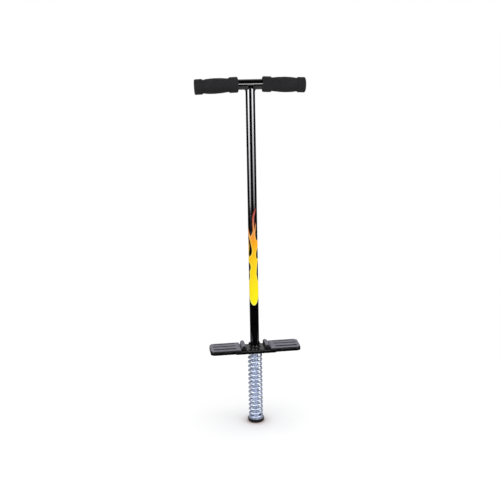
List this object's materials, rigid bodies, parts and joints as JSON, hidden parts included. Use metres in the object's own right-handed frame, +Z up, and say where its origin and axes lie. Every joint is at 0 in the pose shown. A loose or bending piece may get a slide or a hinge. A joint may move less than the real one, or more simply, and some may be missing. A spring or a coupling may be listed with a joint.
{
  "type": "pogo stick",
  "caption": "Child's pogo stick: upright steel tube with foam-gripped handlebar, fold-up footrests, an outside coil spring around a sliding plunger, and a rubber foot.",
  "frame": {"origin": "centre of the rubber foot's underside, on the ground", "axes": "+Z up along the upright tube; +X to the stick's right-hand footrest as seen from the front; the front faces -Y, away from the hinge pins' round knobs"},
  "size_m": [0.2978, 0.068, 0.9816],
  "materials": {
    "black_paint": "gloss",
    "grip_foam": "matte",
    "black_plastic": "satin",
    "decal_film": "gloss",
    "tread_plastic": "satin",
    "zinc_steel": "satin",
    "dark_steel": "satin",
    "bolt_steel": "satin",
    "nylon": "satin",
    "foot_rubber": "matte"
  },
  "bodies": {
    "frame": {"main_tube": "black_paint", "handlebar": "black_paint", "handlebar_weld": "black_paint", "left_grip": "grip_foam", "right_grip": "grip_foam", "left_bar_plug": "black_plastic", "right_bar_plug": "black_plastic", "flame_decal": "decal_film", "footrest_bracket": "black_paint", "footrest_weld": "black_paint", "left_hinge_lugs": "black_paint", "right_hinge_lugs": "black_paint", "left_hinge_pin": "dark_steel", "right_hinge_pin": "dark_steel", "left_hinge_clip": "dark_steel", "right_hinge_clip": "dark_steel", "upper_spring_seat": "zinc_steel", "guide_bush": "nylon", "retaining_bolt": "dark_steel", "retaining_nut": "dark_steel", "spring": "zinc_steel"},
    "plunger": {"plunger_tube": "zinc_steel", "plunger_plug": "zinc_steel", "piston_bush": "nylon", "lower_spring_seat": "zinc_steel", "rubber_foot": "foot_rubber", "foot_screw": "bolt_steel"},
    "left_footrest": {"left_pedal": "black_paint", "left_tread": "tread_plastic", "left_tread_screws": "bolt_steel"},
    "right_footrest": {"right_pedal": "black_paint", "right_tread": "tread_plastic", "right_tread_screws": "bolt_steel"}
  },
  "joints": [
    {"name": "plunger_slide", "type": "slide", "parent": "frame", "child": "plunger", "axis": [0, 0, 1], "range_m": [0, 0.09], "stiffness_N_per_m": 11900, "springref_m": -0.012, "deforming": ["spring"]},
    {"name": "left_footrest_fold", "type": "hinge", "parent": "frame", "child": "left_footrest", "pos_m": [-0.033, 0, 0.2312], "axis": [0, 1, 0], "range_deg": [0, 88]},
    {"name": "right_footrest_fold", "type": "hinge", "parent": "frame", "child": "right_footrest", "pos_m": [0.033, 0, 0.2312], "axis": [0, -1, 0], "range_deg": [0, 88]}
  ]
}
